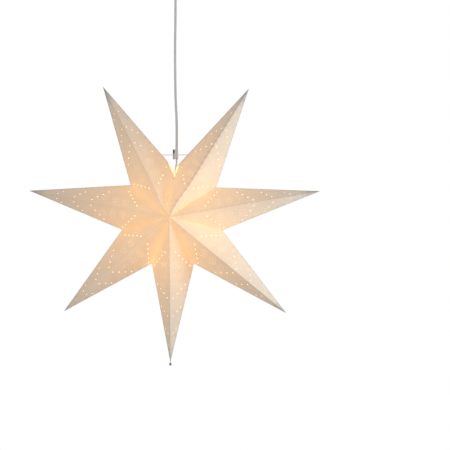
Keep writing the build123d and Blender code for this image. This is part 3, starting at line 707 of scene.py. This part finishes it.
def makeFace(builder, face, spots, middle, foldShades, parting, isSeam=False):
    # one flat paper face with its holes, laid out in its own plane and triangulated there.
    # The argument before parting holds how dark each edge's painted shade line is: first to second corner,
    # second to third, third to first.
    # parting is how much painted glow comes out along the last edge
    a, b, c = face
    normal = (b - a).cross(c - a).normalized()
    if normal.dot(a - middle) < 0:
        normal = -normal
    sideX = (b - a).normalized()
    sideY = normal.cross(sideX)

    def flat(place):
        return Vector(((place - a).dot(sideX), (place - a).dot(sideY)))

    def solid(place):
        return a + sideX * place.x + sideY * place.y

    corners = [flat(corner) for corner in face]
    sides = list(zip(corners, corners[1:] + corners[:1]))
    outline = []
    for start, end in ((a, b), (b, c), (c, a)):
        outline += outlineRun(start, end)[:-1]
    flatPoints = [flat(place) for place in outline]
    edges = [(k, (k + 1) % len(flatPoints)) for k in range(len(flatPoints))]

    def sideDistance(place, p, q):
        return abs((q - p).normalized().cross(place - p))

    def edgeDistance(place):
        return min(sideDistance(place, p, q) for p, q in sides)

    def foldShadeAt(place):
        # how much of an edge's painted shade line falls on a place
        return max(
            line * max(0.0, 1.0 - sideDistance(place, p, q) / fine["fadeRing"])
            for line, (p, q) in zip(foldShades, sides)
        )

    def partedAt(place):
        # the seam's glow is narrow and ends below its top; a valley's is widest at its outer end
        p, q = corners[0], corners[2]
        along = (place - p).dot(q - p) / (q - p).length_squared
        beside = sideDistance(place, p, q)
        if isSeam:
            rise = max(0.0, math.sin(math.pi * along ** fine["seamRise"]))
            return max(0.0, 1.0 - beside / fine["seamWidth"]) * rise
        rise = min(1.0, max(0.0, along)) ** fine["partedRise"]
        return max(0.0, 1.0 - beside / fine["partedWidth"]) ** fine["partedPower"] * rise

    holes = []
    for place, radius, holeSides in spots:
        depth = depthOver(face, place)
        if depth is None:
            continue
        holeMiddle = flat(Vector((place.x, depth, place.y)))
        if edgeDistance(holeMiddle) < radius + fine["holeMargin"]:
            continue
        if any((holeMiddle - other).length < radius + size + fine["holeSpacing"] for other, size in holes):
            continue
        holes.append((holeMiddle, radius))
        first = len(flatPoints)
        flatPoints += circlePoints(holeMiddle, radius, holeSides)
        edges += [(first + k, first + (k + 1) % holeSides) for k in range(holeSides)]

    centroid = sum(corners, Vector((0, 0))) / 3
    extra = []
    for inset in (fine["creaseRing"], fine["fadeRing"]):
        for p, q in sides:
            inward = Vector((-(q - p).y, (q - p).x)).normalized()
            if inward.dot(centroid - p) < 0:
                inward = -inward
            steps = max(2, round((q - p).length / fine["edgeStep"]))
            extra += [p.lerp(q, (k + 0.5) / steps) + inward * inset for k in range(steps)]
    low = Vector((min(p.x for p in corners), min(p.y for p in corners)))
    high = Vector((max(p.x for p in corners), max(p.y for p in corners)))
    step = fine["grid"]
    for i in range(int((high.x - low.x) / step) + 1):
        for j in range(int((high.y - low.y) / step) + 1):
            extra.append(low + Vector(((i + 0.5 * (j % 2)) * step, j * step)))
    flatPoints += [
        place for place in extra
        if geometry.intersect_point_tri_2d(place, *corners)
        and edgeDistance(place) > fine["creaseRing"] * fine["ringShare"]
        and all((place - other).length > size + fine["holeMargin"] for other, size in holes)
    ]
    verts, _, faces, sources, _, _ = geometry.delaunay_2d_cdt(flatPoints, edges, [], 1, fine["flatError"])
    made = []
    for place, source in zip(verts, sources):
        onOutline = source and min(source) < len(outline)
        place3d = outline[min(source)] if onOutline else solid(place)
        rise = 0.0
        if geometry.intersect_point_tri_2d(place, *corners) and not onOutline:
            share = min(1.0, edgeDistance(place) / star["bulgeReach"])
            rise = star["bulge"] * share ** star["bulgePower"]
        vert = builder.verts.new(place3d + normal * rise)
        vert[builder.verts.layers.float["fold"]] = foldShadeAt(place)
        vert[builder.verts.layers.float["parted"]] = parting * partedAt(place)
        made.append(vert)
    for corner in faces:
        inner = sum((verts[k] for k in corner), Vector((0, 0))) / len(corner)
        if any((inner - other).length < size * fine["holeShare"] for other, size in holes):
            continue
        triangle = builder.faces.new([made[k] for k in corner])
        triangle.normal_update()
        if triangle.normal.dot(normal) < 0:
            triangle.normal_flip()


def makeFlap(builder, start, end, middle, gap):
    # a flap folded in from one edge; start is the apex end. It lies a gap inside the wall's plane
    width = star["flapWidth"]
    wall = (end - start).cross(Vector((0, 1, 0))).normalized()
    if wall.dot(start.lerp(end, 0.5) - middle) < 0:
        wall = -wall
    inward = wall.cross(end - start).normalized()
    if inward.y * start.y > 0:
        inward = -inward
    run = edgePoints(start, end)
    slants = [0.0] * len(run)
    slants[0], slants[-1] = star["flapSlant"]
    rows = []
    for share in star["flapRows"]:
        row = []
        for place, slant in zip(run, slants):
            slide = slant * width * share
            shifted = place + (end - start).normalized() * slide + inward * width * share
            if share:
                shifted -= wall * (gap + (shifted - start).dot(wall))
            row.append(builder.verts.new(shifted))
        rows.append(row)
    for low, high in zip(rows, rows[1:]):
        for k in range(len(run) - 1):
            quad = builder.faces.new((low[k], low[k + 1], high[k + 1], high[k]))
            quad.normal_update()
            if quad.normal.dot(wall) < 0:
                quad.normal_flip()


def bendSeam(place, hand):
    # the seam's edges bow aside in front, and the paper beside them follows;
    # above it the left half's edge curves towards the cord
    local = place - star["centre"]
    if local.z <= 0 or abs(local.x) > star["bowReach"]:
        return place
    side = (1 - abs(local.x) / star["bowReach"]) ** 2
    bow = 0.0
    if local.z < shutHeight:
        depth = min(1.0, abs(local.y) / star["seamBowDepth"])
        bow = star["seamBow"] * math.sin(math.pi * local.z / shutHeight) ** star["seamBowPower"] * depth
    bowFoot, bowHead = shutHeight * star["mouthBowFrom"], star["mouthLeft"][1]
    if hand < 0 and local.y < 0 and bowFoot < local.z < bowHead:
        up = (local.z - bowFoot) / (bowHead - bowFoot)
        depth = min(1.0, abs(local.y) / star["mouthBowDepth"])
        bow += star["mouthBow"] * math.sin(math.pi * up ** star["mouthBowPower"]) * depth * side
    return place + Vector((bow * side, 0, 0))


def applyModifiers(piece):
    # the evaluated mesh takes the modifiers' place
    depsgraph = bpy.context.evaluated_depsgraph_get()
    made = bpy.data.meshes.new_from_object(piece.evaluated_get(depsgraph))
    piece.modifiers.clear()
    old = piece.data
    piece.data = made
    made.name = piece.name
    bpy.data.meshes.remove(old)


def makePoint(index):
    before = mouths[1] if index == pointCount - 1 else valleys[index]
    after = mouths[0] if index == 0 else valleys[index - 1]
    atSeam = {0: 1, pointCount - 1: 0}.get(index)
    tip = tips[index]
    middle = (front + back + tip * 2 + before + after) / 6
    builder = bmesh.new()
    builder.verts.layers.float.new("fold")
    builder.verts.layers.float.new("parted")
    spots = flatSpots(index)
    # ridge and rim give how dark their painted shade lines are
    ridge, rim = star["ridgeShades"][index], star["rimShadeLine"]
    for k, side in enumerate((before, after)):
        for depthSide, apex in enumerate((front, back)):
            if k == atSeam:
                shut = seamEnds[k == 0][depthSide]
                foldShades = (ridge, 0.0, star["seamShadeLine"])
                makeFace(builder, (apex, tip, shut), spots, middle, foldShades, star["seamParting"], True)
                makeFace(builder, (shut, tip, side), spots, middle, (0.0, rim, rim), 0.0)
                makeFlap(builder, apex, shut, middle, star["seamGap"] / 2)
            else:
                parting = star["valleyPartings"][index - k]
                makeFace(builder, (apex, tip, side), spots, middle, (ridge, rim, 0.0), parting)
                makeFlap(builder, apex, side, middle, star["gluing"])
    bmesh.ops.remove_doubles(builder, verts=builder.verts, dist=fine["weld"])
    bmesh.ops.dissolve_degenerate(builder, dist=fine["sliver"], edges=builder.edges)
    if atSeam is not None:
        for vert in builder.verts:
            vert.co = bendSeam(vert.co, -1 if index == 0 else 1)
    piece = buildPiece(builder, "paper_" + star["pointNames"][index], finish["lantern_paper"], paperInside)
    shell = piece.modifiers.new("thickness", "SOLIDIFY")
    shell.thickness = star["thickness"]
    shell.offset = -1.0
    shell.use_even_offset = False
    shell.material_offset = 1
    applyModifiers(piece)
    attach(piece, "star")
    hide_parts("point_" + star["pointNames"][index])


for pointIndex in range(pointCount):
    makePoint(pointIndex)
print("stage: paper points folded")


# The pads on the seam's flaps follow the bow of the paper

padShape = {"width": 0.005, "length": 0.016, "edge": 0.0012, "height": 0.038, "steps": 6}


def makePads(name, nodeName, hand):
    builder = bmesh.new()
    thick = star["seamGap"] / 2 - star["gluing"] / 2
    for apex, shut in ((front, seamEnds[0][0]), (back, seamEnds[0][1])):
        edge = Vector((0, shut.y - apex.y, shut.z - apex.z)).normalized()
        inward = Vector((0, -edge.z, edge.y))
        if inward.dot(star["centre"] - apex) < 0:
            inward = -inward
        up = padShape["height"] / edge.z
        middle = apex + edge * up + inward * (padShape["edge"] + padShape["width"] / 2)
        rings = []
        for k in range(padShape["steps"] + 1):
            along = (k / padShape["steps"] - 0.5) * padShape["length"]
            ring = []
            for across, out in ((-0.5, 0.0), (0.5, 0.0), (0.5, 1.0), (-0.5, 1.0)):
                place = bendSeam(middle + edge * along + inward * padShape["width"] * across, 1)
                ring.append(builder.verts.new(place + Vector((hand * thick * out, 0, 0))))
            rings.append(ring)
        for low, high in zip(rings, rings[1:]):
            for k in range(4):
                builder.faces.new((low[k], low[(k + 1) % 4], high[(k + 1) % 4], high[k]))
        for ring in (rings[0], rings[-1]):
            builder.faces.new(ring)
    bmesh.ops.recalc_face_normals(builder, faces=builder.faces)
    piece = buildPiece(builder, name, finish["hook_and_loop"])
    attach(piece, "star")
    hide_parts(nodeName)


makePads("pads_hook", "seam_hook_pads", -1)
makePads("pads_loop", "seam_loop_pads", 1)
print("stage: pads placed")


# The flat cord: its broad side shows above the clip, its edge below

cordLook = {
    "width": 0.0046,
    "thick": 0.0028,
    "roundSteps": 6,        # along a quarter of a core
    # from a core's top to the groove between the cores: across, and how high, as shares
    "groove": [(0.55, 0.985), (0.3, 0.93), (0.12, 0.87)],
    "grooveFloor": 0.85,
    "curveSteps": 10,
}
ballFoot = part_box("swivel_ball")[0].z
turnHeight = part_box("cord_above_clip")[0].z
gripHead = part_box("cord_grip")[1].z
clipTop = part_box("cord_clip")[1].z
upperRoute = [
    (0, 0, ballFoot),
    (0, 0, ballFoot - 0.048),
    (-0.0009, 0, ballFoot - 0.104),
    (-0.0004, 0, ballFoot - 0.160),
    (0.0004, 0, ballFoot - 0.208),
    (0.0025, 0, ballFoot - 0.238),
    (0.0024, 0, clipTop + 0.010),
    (0.0024, 0, turnHeight),
]
lowerRoute = [
    (0.0024, 0, turnHeight),
    (0.0024, 0, turnHeight - 0.006),
    (0.0009, 0, turnHeight - 0.013),
    (-0.0001, 0, turnHeight - 0.022),
    (0, 0, gripHead + 0.0088),
    (0, 0, gripHead),
]


def readRoute(route):
    # the smooth line that a NURBS spline draws through its control points
    curve = bpy.data.curves.new("route", "CURVE")
    curve.dimensions = "3D"
    curve.resolution_u = cordLook["curveSteps"]
    spline = curve.splines.new("NURBS")
    spline.points.add(len(route) - 1)
    for point, place in zip(spline.points, route):
        point.co = (*place, 1.0)
    spline.order_u = 3
    spline.use_endpoint_u = True
    holder = bpy.data.objects.new("route", curve)
    bpy.context.scene.collection.objects.link(holder)
    line = bpy.data.meshes.new_from_object(holder.evaluated_get(bpy.context.evaluated_depsgraph_get()))
    places = [vert.co.copy() for vert in line.vertices]
    bpy.data.objects.remove(holder)
    bpy.data.curves.remove(curve)
    bpy.data.meshes.remove(line)
    return places


def cordOutline():
    # the twin cord's section: two round cores side by side with a shallow groove between them
    radius = cordLook["thick"] / 2
    reach = cordLook["width"] / 2 - radius
    turns = [math.pi / 2 * k / cordLook["roundSteps"] for k in range(cordLook["roundSteps"] + 1)]
    quarter = [(reach + radius * math.cos(turn), radius * math.sin(turn)) for turn in turns]
    quarter += [(reach * across, radius * high) for across, high in cordLook["groove"]]
    top = quarter + [(0.0, radius * cordLook["grooveFloor"])] + [(-x, y) for x, y in reversed(quarter)]
    return top + [(x, -y) for x, y in reversed(top[1:-1])]


def makeCord(name, route, broadSide, nodeName):
    path = readRoute(route)
    outline = cordOutline()
    builder = bmesh.new()
    rings = []
    for k, place in enumerate(path):
        run = (path[min(k + 1, len(path) - 1)] - path[max(k - 1, 0)]).normalized()
        across = (broadSide - run * broadSide.dot(run)).normalized()
        deep = run.cross(across)
        rings.append([builder.verts.new(place + across * x + deep * y) for x, y in outline])
    count = len(outline)
    for low, high in zip(rings, rings[1:]):
        for k in range(count):
            quad = (low[k], low[(k + 1) % count], high[(k + 1) % count], high[k])
            builder.faces.new(quad).smooth = True
    for ring in (rings[0], rings[-1]):
        builder.faces.new(ring)
    bmesh.ops.recalc_face_normals(builder, faces=builder.faces)
    piece = buildPiece(builder, name, finish["cord_jacket"])
    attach(piece, "pendant")
    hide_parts(nodeName)


makeCord("cord_upper", upperRoute, Vector((1, 0, 0)), "cord_above_clip")
makeCord("cord_lower", lowerRoute, Vector((0, 1, 0)), "cord_below_clip")
print("stage: cords hung")


# Studio: a pale floor far below, soft light, a camera a little to the right of the front and below

studio = {
    "floorHeight": -2.4,
    "floorSize": 7.0,
    "floorSegments": 8,
    "floorLow": (0.88, 0.88, 0.88),
    "floorHigh": (0.90, 0.90, 0.90),
    "floorRough": (0.7, 0.85),
    "floorGrain": 60.0,
    "distance": 3.6,
    "angle": 5.5,               # to the right of the front, in degrees
    "below": 3.1,               # and below it
    "pixel": 0.00184,
    "imageSize": 450,
    "starPixel": (173.2, 219.2),
    "clipNear": 0.05,
    "clipFar": 60.0,
    "sidePlace": (0.85, -0.14, -0.5),
    "sideSize": 0.4,
    "sidePower": 2.6,
    "sideColour": (0.8, 0.93, 1.0),
    "worldColour": (1.0, 0.97, 0.93),
    "worldStrength": 0.55,
    "backdrop": (1.0, 1.0, 1.0),
}


def makeFloor():
    builder = bmesh.new()
    segments = studio["floorSegments"]
    bmesh.ops.create_grid(builder, x_segments=segments, y_segments=segments, size=studio["floorSize"] / 2)
    material, tree, shader, grain = newGrained("floorPaint", studio["floorGrain"], studio["floorRough"])
    tone = mottleMask(tree, grain.outputs["Mottle"])
    link(tree, mixColours(tree, tone, studio["floorLow"], studio["floorHigh"]), shader.inputs["Base Color"])
    floor = buildPiece(builder, "studioFloor", material)
    floor.location = (0, 0, studio["floorHeight"])


def makeWorld():
    # soft light from all round; the camera, mirrors and glass see a white backdrop instead
    world = bpy.data.worlds.new("studioWorld")
    bpy.context.scene.world = world
    world.use_nodes = True
    tree = world.node_tree
    light = tree.nodes["Background"]
    light.inputs["Color"].default_value = (*studio["worldColour"], 1.0)
    light.inputs["Strength"].default_value = studio["worldStrength"]
    seen = tree.nodes.new("ShaderNodeBackground")
    seen.inputs["Color"].default_value = (*studio["backdrop"], 1.0)
    path = tree.nodes.new("ShaderNodeLightPath")
    direct = addMath(tree, "MAXIMUM", path.outputs["Is Camera Ray"], path.outputs["Is Glossy Ray"])
    direct = addMath(tree, "MAXIMUM", direct, path.outputs["Is Transmission Ray"])
    mix = tree.nodes.new("ShaderNodeMixShader")
    link(tree, direct, mix.inputs["Fac"])
    link(tree, light.outputs["Background"], mix.inputs[1])
    link(tree, seen.outputs["Background"], mix.inputs[2])
    link(tree, mix.outputs["Shader"], tree.nodes["World Output"].inputs["Surface"])


def makeSideLight():
    lamp = bpy.data.lights.new("sideLight", "AREA")
    lamp.shape = "DISK"
    lamp.size = studio["sideSize"]
    lamp.energy = studio["sidePower"]
    lamp.color = studio["sideColour"]
    holder = bpy.data.objects.new("sideLight", lamp)
    holder.location = studio["sidePlace"]
    towards = star["centre"] - Vector(studio["sidePlace"])
    holder.rotation_euler = towards.to_track_quat("-Z", "Y").to_euler()
    holder.visible_camera = False
    bpy.context.scene.collection.objects.link(holder)


def makeCamera():
    # aimed so that the star's centre falls where the picture has it
    distance = studio["distance"]
    turn = math.radians(studio["angle"])
    tilt = math.radians(studio["below"])
    lens = bpy.data.cameras.new("camera")
    lens.angle = 2 * math.atan(studio["pixel"] * studio["imageSize"] / 2 / distance)
    camera = bpy.data.objects.new("camera", lens)
    offset = [(studio["imageSize"] / 2 - p) * studio["pixel"] for p in studio["starPixel"]]
    aimTurn = turn - math.atan(offset[0] / distance)
    aimTilt = tilt - math.atan(offset[1] / distance)
    camera.location = star["centre"] + distance * Vector((
        math.sin(turn) * math.cos(tilt), -math.cos(turn) * math.cos(tilt), -math.sin(tilt)
    ))
    camera.rotation_euler = (math.pi / 2 + aimTilt, 0, aimTurn)
    lens.clip_start = studio["clipNear"]
    lens.clip_end = studio["clipFar"]
    bpy.context.scene.collection.objects.link(camera)
    bpy.context.scene.camera = camera


makeFloor()
makeWorld()
makeSideLight()
makeCamera()
bpy.context.scene.view_settings.view_transform = "Standard"
print("stage: studio set")
